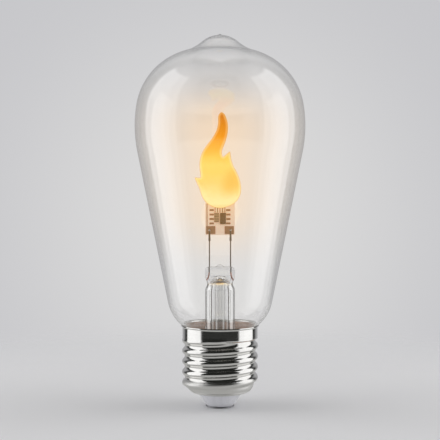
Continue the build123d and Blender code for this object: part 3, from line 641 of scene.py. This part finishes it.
def grain_group():
    """Grain of a worked surface: a broad noise mixes the colour towards its shade, and broad and fine
    noise together move the roughness and the relief."""
    tree, given, result = node_group(
        "Grain",
        [
            ("Place", "Vector", None), ("Colour", "Color", (1, 1, 1, 1)),
            ("Shade", "Color", (0.5, 0.5, 0.5, 1)), ("Size", "Float", 1000.0),
            ("Amount", "Float", 0.5), ("Roughness", "Float", 0.4), ("Roughness Change", "Float", 0.1),
        ],
        [("Colour", "Color"), ("Roughness", "Float"), ("Height", "Float")],
    )
    broad = add(tree, "TexNoise", {"Vector": given["Place"], "Scale": given["Size"], "Detail": 3.0})
    fine_size = maths(tree, "MULTIPLY", given["Size"], 6.3)
    fine = add(tree, "TexNoise", {"Vector": given["Place"], "Scale": fine_size, "Detail": 2.0})
    broad, fine = broad.outputs[0], fine.outputs[0]
    both = maths(tree, "ADD", maths(tree, "MULTIPLY", broad, 0.6), maths(tree, "MULTIPLY", fine, 0.4))
    tone = maths(tree, "MULTIPLY", stepped(tree, both, 0.3, 0.7), given["Amount"])
    centred = maths(tree, "SUBTRACT", both, 0.5)
    change = maths(tree, "MULTIPLY", centred, given["Roughness Change"])
    tree.links.new(blend(tree, tone, given["Colour"], given["Shade"]), result["Colour"])
    tree.links.new(maths(tree, "ADD", given["Roughness"], change), result["Roughness"])
    tree.links.new(both, result["Height"])
    return tree


def glow_group():
    """Light from the flame on what is round it. The colour is the glow's times a share that falls
    from 1 to 0 over the reach from the flame's middle, as (1 - distance / reach)^1.5. The level is 1
    at the flame's height and falls to 0 above and below it."""
    tree, given, result = node_group(
        "Flame glow",
        [("Place", "Vector", None), ("Glow", "Color", (1, 0.5, 0.2, 1)), ("Reach", "Float", 0.05)],
        [("Colour", "Color"), ("Level", "Float")],
    )
    middle = metres((0, FLAME_MID_Y, FLAME_Z + 0.3 * FLAME_H))
    drawn = add(tree, "Mapping", {"Vector": given["Place"], "Location": middle, "Scale": (1, 1, 1.25)},
                vector_type="TEXTURE")
    distance = add(tree, "VectorMath", {0: drawn.outputs[0]}, operation="LENGTH").outputs["Value"]
    share = maths(tree, "SUBTRACT", 1.0, maths(tree, "DIVIDE", distance, given["Reach"]))
    share = maths(tree, "POWER", maths(tree, "MAXIMUM", share, 0.0), 1.5)
    height = add(tree, "SeparateXYZ", {0: given["Place"]}).outputs[2]
    rise = stepped(tree, height, *metres(GLOW_FOOT))
    fall = stepped(tree, height, *metres(GLOW_TOP[::-1]))
    tree.links.new(blend(tree, share, (0, 0, 0, 1), given["Glow"]), result["Colour"])
    tree.links.new(maths(tree, "MULTIPLY", rise, fall), result["Level"])
    return tree


GRAIN = grain_group()
GLOW = glow_group()


def new_material(name):
    """A material's tree and its Principled BSDF."""
    made = bpy.data.materials.new(name)
    made.use_nodes = True
    return made, made.node_tree, made.node_tree.nodes["Principled BSDF"]


def set_inputs(node, **values):
    """Values that are the same all over the surface, set on the shader itself."""
    for key, value in values.items():
        node.inputs[key.replace("_", " ")].default_value = value


def grained(name, colour, shade, size=1500.0, amount=0.5, roughness=0.4, change=0.15, relief=0.02,
            stretch=(1, 1, 1), glow=None, reach=0.045, **constants):
    """A material of grained surface: its colour and roughness vary with the grain and a bump follows
    it. The stretch draws the grain out, as on rolled or drawn metal, and the glow is flame light."""
    made, tree, shader = new_material(name)
    place = object_place(tree)
    drawn = add(tree, "Mapping", {"Vector": place, "Scale": stretch}).outputs[0]
    grain = add(tree, "Group", {
        "Place": drawn, "Colour": (*colour, 1), "Shade": (*shade, 1), "Size": size,
        "Amount": amount, "Roughness": roughness, "Roughness Change": change,
    }, node_tree=GRAIN).outputs
    tree.links.new(grain["Colour"], shader.inputs["Base Color"])
    tree.links.new(grain["Roughness"], shader.inputs["Roughness"])
    bump = add(tree, "Bump", {"Height": grain["Height"], "Strength": 1.0, "Distance": relief * MM})
    tree.links.new(bump.outputs[0], shader.inputs["Normal"])
    if glow:
        lit = add(tree, "Group", {"Place": place, "Glow": (*glow, 1), "Reach": reach}, node_tree=GLOW)
        tree.links.new(lit.outputs["Colour"], shader.inputs["Emission Color"])
        set_inputs(shader, Emission_Strength=1.0)
    set_inputs(shader, **constants)
    return made


def clear_glass(name, tint, edge_absorption_and_shade, edge_power, flame_glow_tint, even_glow, glow, wall_highlight, wave, wave_size,
                **constants):
    """Clear glass. Its tint deepens where it is seen edge on, partly as a thick line of sight does and
    partly as painted shade. Where it is seen square on at the flame's height it has a painted warm
    tint and a painted glow of the flame's light. A faint painted glow lies on the rest, and a painted
    highlight lies in a band between the middle and the edge of a thick wall.
    The crown over the flame is the most polished and mirrors it.
    Broad low waves disturb its reflections, and its shadow is light."""
    made, tree, shader = new_material(name)
    place = object_place(tree)
    lit = add(tree, "Group", {"Place": place}, node_tree=GLOW).outputs["Level"]
    facing = add(tree, "LayerWeight", {"Blend": 0.5}).outputs["Facing"]
    # Painted light: a warm tint and glow of the flame where the glass is seen square on near it
    square_on = maths(tree, "POWER", maths(tree, "SUBTRACT", 1.0, facing), 5.0)
    flame_glow_share = maths(tree, "MULTIPLY", square_on, lit)
    colour = blend(tree, flame_glow_share, (*tint, 1), (*flame_glow_tint, 1))
    # Edge tint: partly a longer path through the wall, partly painted shade for a dark outline
    colour = blend(tree, maths(tree, "POWER", facing, edge_power), colour, (*edge_absorption_and_shade, 1))
    tree.links.new(colour, shader.inputs["Base Color"])
    # Painted glow: faint and even all over, warm near the flame
    shine = blend(tree, flame_glow_share, (*even_glow, 1), (*glow, 1))
    # Painted highlight in a band between the wall's middle and its edge
    wall = maths(tree, "MULTIPLY", stepped(tree, facing, 0.24, 0.32), stepped(tree, facing, 0.58, 0.48))
    band_highlight = blend(tree, wall, (0, 0, 0, 1), (wall_highlight, wall_highlight, wall_highlight, 1))
    tree.links.new(blend(tree, 1.0, shine, band_highlight, "ADD"), shader.inputs["Emission Color"])
    x, _, z = add(tree, "SeparateXYZ", {0: place}).outputs
    crown = maths(tree, "MULTIPLY", stepped(tree, z, *metres(MIRROR_FOOT)),
                  stepped(tree, maths(tree, "ABSOLUTE", x), *metres(MIRROR_EDGE)))
    tree.links.new(crown, shader.inputs["Coat Weight"])
    waves = add(tree, "TexNoise", {"Vector": place, "Scale": wave_size, "Detail": 1.0}).outputs[0]
    bump = add(tree, "Bump", {"Height": waves, "Strength": 1.0, "Distance": wave * MM})
    tree.links.new(bump.outputs[0], shader.inputs["Normal"])
    set_inputs(shader, Roughness=0.0, IOR=1.5, Transmission_Weight=1.0, Emission_Strength=1.0,
               **constants)
    shadow = add(tree, "LightPath").outputs["Is Shadow Ray"]
    through = add(tree, "BsdfTransparent", {"Color": (0.93, 0.93, 0.93, 1)})
    mixed = add(tree, "MixShader", {0: shadow, 1: shader.outputs[0], 2: through.outputs[0]})
    tree.links.new(mixed.outputs[0], tree.nodes["Material Output"].inputs["Surface"])
    return made


def stem_glass():
    """The stem's clear glass. The arched roof of its cavity is painted brown above, as painted shade,
    and gold below, as a painted highlight of the flame's light, and the line between them sways."""
    # Its strong edge tint is painted shade, and its wall band a painted highlight
    made = clear_glass("Pressed stem glass", (0.97, 0.97, 0.965), (0.12, 0.115, 0.11), 1.4,
                       (0.97, 0.95, 0.92), (0.0, 0.0, 0.0), (0.03, 0.025, 0.015), 0.20, 0.002, 160.0)
    tree = made.node_tree
    shader = tree.nodes["Principled BSDF"]
    place = object_place(tree)
    height = add(tree, "SeparateXYZ", {0: place}).outputs[2]
    flat = add(tree, "Mapping", {"Vector": place, "Scale": (1, 1, 0)}).outputs[0]
    radius = add(tree, "VectorMath", {0: flat}, operation="LENGTH").outputs["Value"]
    roof = maths(tree, "MULTIPLY",
                 stepped(tree, height, *metres((CAVITY_FOOT_Z - 0.1, CAVITY_DIP_Z))),
                 stepped(tree, radius, *metres((STEM_BORE_R + 0.05, STEM_BORE_R - 0.15))))
    roof = maths(tree, "MULTIPLY", roof, stepped(tree, height, *metres(ROOF_TOP_Z)))
    sway = add(tree, "TexNoise", {"Vector": place, "Scale": 420.0, "Detail": 1.0}).outputs[0]
    sway = maths(tree, "MULTIPLY", maths(tree, "SUBTRACT", sway, 0.5), 0.0012)
    lower = stepped(tree, maths(tree, "ADD", height, sway), *metres(ROOF_GLINT_Z))
    # Painted shade: the roof brown above; painted highlight: pale gold with a gold glow below
    roof_shade_and_glint_tint = blend(tree, lower, (0.24, 0.18, 0.13, 1), (0.95, 0.85, 0.66, 1))
    roof_glint = blend(tree, lower, (0.0, 0.0, 0.0, 1), (0.24, 0.18, 0.09, 1))
    for key, tone in (("Base Color", roof_shade_and_glint_tint), ("Emission Color", roof_glint)):
        plain = shader.inputs[key].links[0].from_socket
        tree.links.new(blend(tree, roof, plain, tone), shader.inputs[key])
    return made


def shell_plate():
    """Bright nickel plate, duller on the bowl below the thread, where the sheet was drawn in."""
    made, tree, shader = new_material("Bright nickel plate")
    place = object_place(tree)
    drawn = add(tree, "Mapping", {"Vector": place, "Scale": (1, 1, 5)}).outputs[0]
    grain = add(tree, "Group", {
        "Place": drawn, "Colour": (0.78, 0.775, 0.76, 1), "Shade": (0.70, 0.69, 0.67, 1),
        "Size": 260.0, "Amount": 0.5, "Roughness": 0.13, "Roughness Change": 0.05,
    }, node_tree=GRAIN).outputs
    height = add(tree, "SeparateXYZ", {0: place}).outputs[2]
    dull = stepped(tree, height, (BOWL_TOP_Z + 0.2) * MM, (BOWL_TOP_Z - 1.2) * MM, 0.0, 0.32)
    tree.links.new(grain["Colour"], shader.inputs["Base Color"])
    tree.links.new(maths(tree, "ADD", grain["Roughness"], dull), shader.inputs["Roughness"])
    bump = add(tree, "Bump", {"Height": grain["Height"], "Strength": 1.0, "Distance": 0.0015 * MM})
    tree.links.new(bump.outputs[0], shader.inputs["Normal"])
    set_inputs(shader, Metallic=1.0)
    return made


def flame_silicone():
    """Milky silicone lit from inside: pale yellow at its foot, amber above and deep orange at its tip,
    with a darker patch on its right, a painted highlight as a paler band inside its edge and a thin
    dark line on the edge."""
    made, tree, shader = new_material("Lit silicone")
    place = object_place(tree)
    low, high = metres((FLAME_Z, FLAME_Z + FLAME_H))
    z = add(tree, "SeparateXYZ", {0: place}).outputs[2]
    sway = add(tree, "TexNoise", {"Vector": place, "Scale": 220.0, "Detail": 1.0}).outputs[0]
    sway = maths(tree, "MULTIPLY", maths(tree, "SUBTRACT", sway, 0.5), 0.003)
    height = maths(tree, "ADD", z, sway)
    share = add(tree, "MapRange", {"Value": height, 1: low, 2: high}).outputs[0]
    body = ramp(tree, share, [
        (0.0, (0.90, 0.66, 0.22)), (0.05, (0.95, 0.90, 0.43)), (0.12, (0.95, 0.87, 0.40)),
        (0.19, (0.94, 0.78, 0.28)), (0.25, (0.93, 0.71, 0.19)), (0.38, (0.93, 0.70, 0.135)),
        (0.45, (0.94, 0.72, 0.15)), (0.52, (0.94, 0.63, 0.08)), (0.6, (0.93, 0.48, 0.025)),
        (0.68, (0.92, 0.375, 0.003)), (0.75, (0.85, 0.275, 0.003)), (0.82, (0.76, 0.235, 0.003)),
        (0.93, (0.65, 0.17, 0.003)), (1.0, (0.48, 0.11, 0.004)),
    ])
    patch_place = add(tree, "Mapping", {
        "Vector": place, "Location": metres((PATCH_X, FLAME_MID_Y, PATCH_Z)),
        "Rotation": (0, 0.5, 0), "Scale": (0.8, 1, 1.3),
    }, vector_type="TEXTURE").outputs[0]
    from_patch = add(tree, "VectorMath", {0: patch_place}, operation="LENGTH").outputs["Value"]
    patch = stepped(tree, from_patch, 0.0068, 0.002, 0.0, 0.9)
    body = blend(tree, patch, body, (0.92, 0.545, 0.075, 1))
    depth = add(tree, "Attribute", attribute_name="edge_depth").outputs["Fac"]
    # Painted highlight: a paler band inside the flame's edge
    rim_highlight = blend(tree, stepped(tree, share, 0.45, 0.8), (1.0, 0.82, 0.38, 1), (0.92, 0.48, 0.14, 1))
    body = blend(tree, stepped(tree, depth, 1.1, 0.3, 0.0, 0.7), body, rim_highlight)
    body = blend(tree, stepped(tree, depth, 0.3, 0.0), body, (0.62, 0.30, 0.05, 1))
    tree.links.new(body, shader.inputs["Emission Color"])
    grain = add(tree, "Group", {
        "Place": place, "Colour": blend(tree, 1.0, body, (0.28, 0.28, 0.28, 1), "MULTIPLY"),
        "Shade": blend(tree, 1.0, body, (0.22, 0.20, 0.18, 1), "MULTIPLY"),
        "Size": 900.0, "Amount": 0.5, "Roughness": 0.45, "Roughness Change": 0.15,
    }, node_tree=GRAIN).outputs
    tree.links.new(grain["Colour"], shader.inputs["Base Color"])
    tree.links.new(grain["Roughness"], shader.inputs["Roughness"])
    bump = add(tree, "Bump", {"Height": grain["Height"], "Strength": 1.0, "Distance": 0.02 * MM})
    tree.links.new(bump.outputs[0], shader.inputs["Normal"])
    set_inputs(shader, Emission_Strength=0.8, Specular_IOR_Level=0.25)
    return made


def printed_array():
    """The resistor array: brown film with a pale zigzag of trimmed conductor across it."""
    made, tree, shader = new_material("Printed resistor film")
    place = object_place(tree)
    waves = add(tree, "TexWave", {
        "Vector": place, "Scale": 330.0, "Distortion": 2.5, "Detail": 1.0,
    }, bands_direction="Z", wave_profile="TRI").outputs["Fac"]
    line = stepped(tree, waves, 0.45, 0.7)
    colour = blend(tree, line, (0.33, 0.17, 0.075, 1), (0.60, 0.40, 0.22, 1))
    grain = add(tree, "Group", {
        "Place": place, "Colour": colour, "Shade": (0.20, 0.11, 0.05, 1), "Size": 2500.0,
        "Amount": 0.4, "Roughness": 0.45, "Roughness Change": 0.2,
    }, node_tree=GRAIN).outputs
    tree.links.new(grain["Colour"], shader.inputs["Base Color"])
    tree.links.new(grain["Roughness"], shader.inputs["Roughness"])
    return made


# Finishes

# Blown glass: its edge tint is partly painted shade, and its warm tint and glows are painted light
blown = clear_glass("Blown clear glass", (0.99, 0.99, 0.99), (0.20, 0.21, 0.22), 12.0,
                    (0.985, 0.958, 0.930), (0.025, 0.024, 0.022), (0.081, 0.043, 0.004), 0.0, 0.0015,
                    45.0, Specular_IOR_Level=0.03)
pressed = stem_glass()
nickel_plate = shell_plate()
insulator_white = grained("White moulded insulator", (0.80, 0.80, 0.84), (0.72, 0.72, 0.77), 500.0,
                          0.5, 0.28, 0.1, 0.004, Coat_Weight=0.2)
# Plated contact: its dark grey is partly its own dull plate and partly painted shade under the lamp
contact_plate_and_shade = grained("Dull plated contact", (0.30, 0.30, 0.32), (0.16, 0.16, 0.17), 900.0, 0.7,
                        0.35, 0.2, 0.006, Metallic=1.0)
solder = grained("Smooth solder", (0.66, 0.64, 0.63), (0.48, 0.46, 0.45), 1200.0, 0.6, 0.28, 0.2,
                 0.01, Metallic=1.0)
cement = grained("Dry basing cement", (0.44, 0.18, 0.065), (0.28, 0.11, 0.045), 1400.0, 0.8, 0.85, 0.1,
                 0.08)
nickel_wire = grained("Drawn nickel wire", (0.058, 0.045, 0.034), (0.034, 0.027, 0.020), 1500.0, 0.6, 0.4,
                      0.15, 0.004, (1, 1, 0.15), (0.05, 0.02, 0.004), Metallic=0.7)
ferrule_metal = grained("Crimped sleeve", (0.045, 0.030, 0.021), (0.025, 0.017, 0.012), 1800.0, 0.7, 0.4,
                        0.2, 0.01, glow=(0.03, 0.012, 0.002), Metallic=0.7)
copper_sheath = grained("Red copper sheath", (0.62, 0.24, 0.15), (0.42, 0.14, 0.09), 1500.0, 0.6, 0.35,
                        0.15, 0.004, (1, 1, 0.2), Metallic=1.0)
copper_wire = grained("Drawn copper wire", (0.64, 0.36, 0.20), (0.42, 0.22, 0.12), 1500.0, 0.6, 0.3,
                      0.15, 0.004, (1, 1, 0.2), Metallic=1.0)
board_mask = grained("White board mask", (0.92, 0.84, 0.80), (0.84, 0.75, 0.70), 700.0, 0.5, 0.4, 0.15,
                     0.006, glow=(0.40, 0.20, 0.06), reach=0.034)
tinned_copper = grained("Tinned copper", (0.235, 0.12, 0.088), (0.17, 0.088, 0.062), 1300.0, 0.6, 0.38,
                        0.2, 0.01, glow=(0.22, 0.08, 0.015), reach=0.034, Metallic=0.5)
moulded_epoxy = grained("Moulded epoxy", (0.014, 0.009, 0.006), (0.008, 0.005, 0.003), 2200.0, 0.6, 0.5,
                        0.2, 0.01, glow=(0.10, 0.02, 0.0), reach=0.027, Specular_IOR_Level=0.2)
black_epoxy = grained("Black moulded epoxy", (0.035, 0.035, 0.035), (0.02, 0.02, 0.02), 2200.0, 0.6,
                      0.5, 0.2, 0.01)
phosphor = grained("Phosphor resin", (0.95, 0.72, 0.25), (0.85, 0.58, 0.15), 1800.0, 0.5, 0.35, 0.1,
                   0.005, glow=(1.0, 0.62, 0.18), reach=0.05)
green_board = grained("Green board", (0.05, 0.20, 0.09), (0.03, 0.13, 0.06), 1100.0, 0.6, 0.35, 0.15,
                      0.006)
dark_sleeve = grained("Dark sleeve", (0.05, 0.05, 0.065), (0.03, 0.03, 0.04), 900.0, 0.5, 0.35, 0.1,
                      0.004, (1, 1, 0.3))
flameproof = grained("Flameproof coating", (0.22, 0.30, 0.20), (0.15, 0.21, 0.14), 1100.0, 0.6, 0.6,
                     0.15, 0.01)

NODE_FINISHES = {
    "basing_cement": cement, "board_tracks": tinned_copper, "bridge_rectifier": black_epoxy,
    "centre_contact": contact_plate_and_shade, "contact_solder": solder, "current_regulator": black_epoxy,
    "driver_board": green_board, "flicker_controller": moulded_epoxy,
    "fusible_resistor": flameproof, "led_board": board_mask, "live_wire": copper_wire,
    "neutral_solder": solder, "neutral_wire": copper_wire, "resistor_array": printed_array(),
    "smoothing_capacitor": dark_sleeve,
}
for row in (1, 2, 3):
    NODE_FINISHES[f"led_front_{row}"] = NODE_FINISHES[f"led_back_{row}"] = phosphor
for side in ("left", "right"):
    NODE_FINISHES["lead_ferrule_" + side] = ferrule_metal
    NODE_FINISHES["lead_tail_" + side] = nickel_wire
    NODE_FINISHES["seal_wire_" + side] = copper_sheath
    NODE_FINISHES["solder_joint_" + side] = solder
    NODE_FINISHES["supply_pad_" + side] = tinned_copper
    NODE_FINISHES["support_wire_" + side] = nickel_wire
for name, finish in NODE_FINISHES.items():
    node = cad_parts[name]
    node.data.materials.clear()
    node.data.materials.append(finish)


# Pieces

as_piece(glass_envelope_mesh(), blown, "glass_envelope")
as_piece(glass_stem_mesh(), pressed, "glass_stem", "exhaust_tube")
as_piece(cap_shell_mesh(), nickel_plate, "cap_shell")
as_piece(cap_insulator_mesh(), insulator_white, "cap_insulator")
as_piece(flame_mesh(), flame_silicone(), "flame_diffuser")


# The studio

BACKDROP = (0.700, 0.696, 0.696)
BACKDROP_RIM = (0.575, 0.575, 0.595)
AMBIENT = 0.5
ROOM = (0.018, 0.019, 0.017)
BEHIND = (0.42, 0.42, 0.43)
FLOOR_MIRRORED = (0.48, 0.48, 0.47)
SOFTBOX_LIGHT = 1.25
FLOOR_TONE = (0.765, 0.765, 0.78)
FLOOR_R = 0.26


def degrees(*angles):
    """Angles from the direction of the camera, as shares of a half turn round the lamp."""
    return [angle / 180 for angle in angles]


# Edges of a soft light round the lamp, and its levels there as mirrored from outside and in glass
SOFTBOX_TURNS = degrees(58, 62, 78, 81, 117, 120)
SOFTBOX_LEVELS = (0.0, 0.95, 0.95, 1.0, 1.0, 0.0), (0.0, 0.35, 0.35, 0.85, 0.85, 0.0)


def studio_world():
    """The lamp's surroundings. The camera sees a pale backdrop, brightest behind the lamp, also
    through glass. A reflection sees a tall soft light on each side of the lamp, the pale backdrop
    behind it, the floor below and a dark room round the camera, and inside glass the soft lights are
    weaker towards the camera. All else gets an even light."""
    world = bpy.data.worlds.new("Studio")
    bpy.context.scene.world = world
    world.use_nodes = True
    tree = world.node_tree
    tree.nodes.clear()
    path = add(tree, "LightPath").outputs
    x, y, z = add(tree, "SeparateXYZ", {0: add(tree, "TexCoord").outputs["Generated"]}).outputs
    turn = maths(tree, "ARCTAN2", maths(tree, "ABSOLUTE", x), maths(tree, "MULTIPLY", y, -1.0))
    turn = maths(tree, "DIVIDE", turn, np.pi)
    boxes_outside, boxes_in_glass = (
        ramp(tree, turn, [
            (place, (light, light, light)) for place, light in zip(SOFTBOX_TURNS, lights)
        ])
        for lights in SOFTBOX_LEVELS
    )
    in_glass = maths(tree, "GREATER_THAN", path["Transmission Depth"], 0.5)
    boxes = blend(tree, in_glass, boxes_outside, boxes_in_glass)
    level = maths(tree, "MULTIPLY", stepped(tree, z, -0.56, -0.42), stepped(tree, z, 0.81, 0.77))
    level = maths(tree, "MULTIPLY", level, SOFTBOX_LIGHT)
    boxes = blend(tree, 1.0, boxes, level, "MULTIPLY")
    behind = stepped(tree, turn, *degrees(126, 150))
    below = stepped(tree, z, -0.17, -0.25)
    room = blend(tree, behind, (*ROOM, 1), (*BEHIND, 1))
    room = blend(tree, below, room, (*FLOOR_MIRRORED, 1))
    studio = blend(tree, 1.0, room, boxes, "LIGHTEN")
    reflected = maths(tree, "GREATER_THAN", path["Glossy Depth"], 0.5)
    direct = maths(tree, "MAXIMUM", path["Is Camera Ray"], path["Is Transmission Ray"])
    off_middle = add(tree, "CombineXYZ", {0: x, 1: 0.0, 2: z}).outputs[0]
    off_middle = add(tree, "VectorMath", {0: off_middle}, operation="LENGTH").outputs["Value"]
    rim = stepped(tree, off_middle, 0.05, 0.33)
    backdrop = blend(tree, rim, (*BACKDROP, 1), (*BACKDROP_RIM, 1))
    colour = blend(tree, direct, (AMBIENT, AMBIENT, AMBIENT, 1), backdrop)
    colour = blend(tree, reflected, colour, studio)
    background = add(tree, "Background", {"Color": colour, "Strength": 1.0})
    output = add(tree, "OutputWorld")
    tree.links.new(background.outputs[0], output.inputs["Surface"])


def softbox(name, x):
    """A tall soft light beside the lamp. The studio's surroundings stand for it in reflections."""
    light = bpy.data.lights.new(name, "AREA")
    light.shape = "RECTANGLE"
    light.size, light.size_y = 0.56, 0.95
    light.energy = 1.35 * np.pi * light.size * light.size_y
    box = bpy.data.objects.new(name, light)
    box.location = (x, 0.02, 0.45)
    box.rotation_euler = (np.pi / 2, 0, np.pi / 2 if x > 0 else -np.pi / 2)
    box.visible_camera = box.visible_glossy = box.visible_transmission = False
    bpy.context.scene.collection.objects.link(box)


def floor():
    """A round pale floor whose rim fades into the backdrop."""
    mesh = bpy.data.meshes.new("floor")
    ring = np.linspace(0, 2 * np.pi, 96, endpoint=False)
    points = np.stack([np.cos(ring), np.sin(ring), 0 * ring], axis=1) * FLOOR_R
    mesh.from_pydata(points.tolist(), [], [list(range(96))])
    made, tree, shader = new_material("Pale floor")
    distance = add(tree, "VectorMath", {0: object_place(tree)}, operation="LENGTH").outputs["Value"]
    tree.links.new(stepped(tree, distance, FLOOR_R, 0.3 * FLOOR_R), shader.inputs["Alpha"])
    set_inputs(shader, Base_Color=(*FLOOR_TONE, 1), Roughness=0.9, Specular_IOR_Level=0.1)
    mesh.materials.append(made)
    piece = bpy.data.objects.new("floor", mesh)
    piece.visible_glossy = False
    bpy.context.scene.collection.objects.link(piece)


def camera():
    """The camera, level with the middle of the lamp."""
    data = bpy.data.cameras.new("Camera")
    data.lens = CAMERA_LENS
    data.sensor_width = 36
    data.clip_start = 0.01
    eye = bpy.data.objects.new("Camera", data)
    eye.location = CAMERA_PLACE
    eye.rotation_euler = (np.pi / 2, 0, 0)
    bpy.context.scene.collection.objects.link(eye)
    bpy.context.scene.camera = eye


studio_world()
softbox("Softbox left", -0.5)
softbox("Softbox right", 0.5)
floor()
camera()
bpy.context.scene.view_settings.view_transform = "Standard"
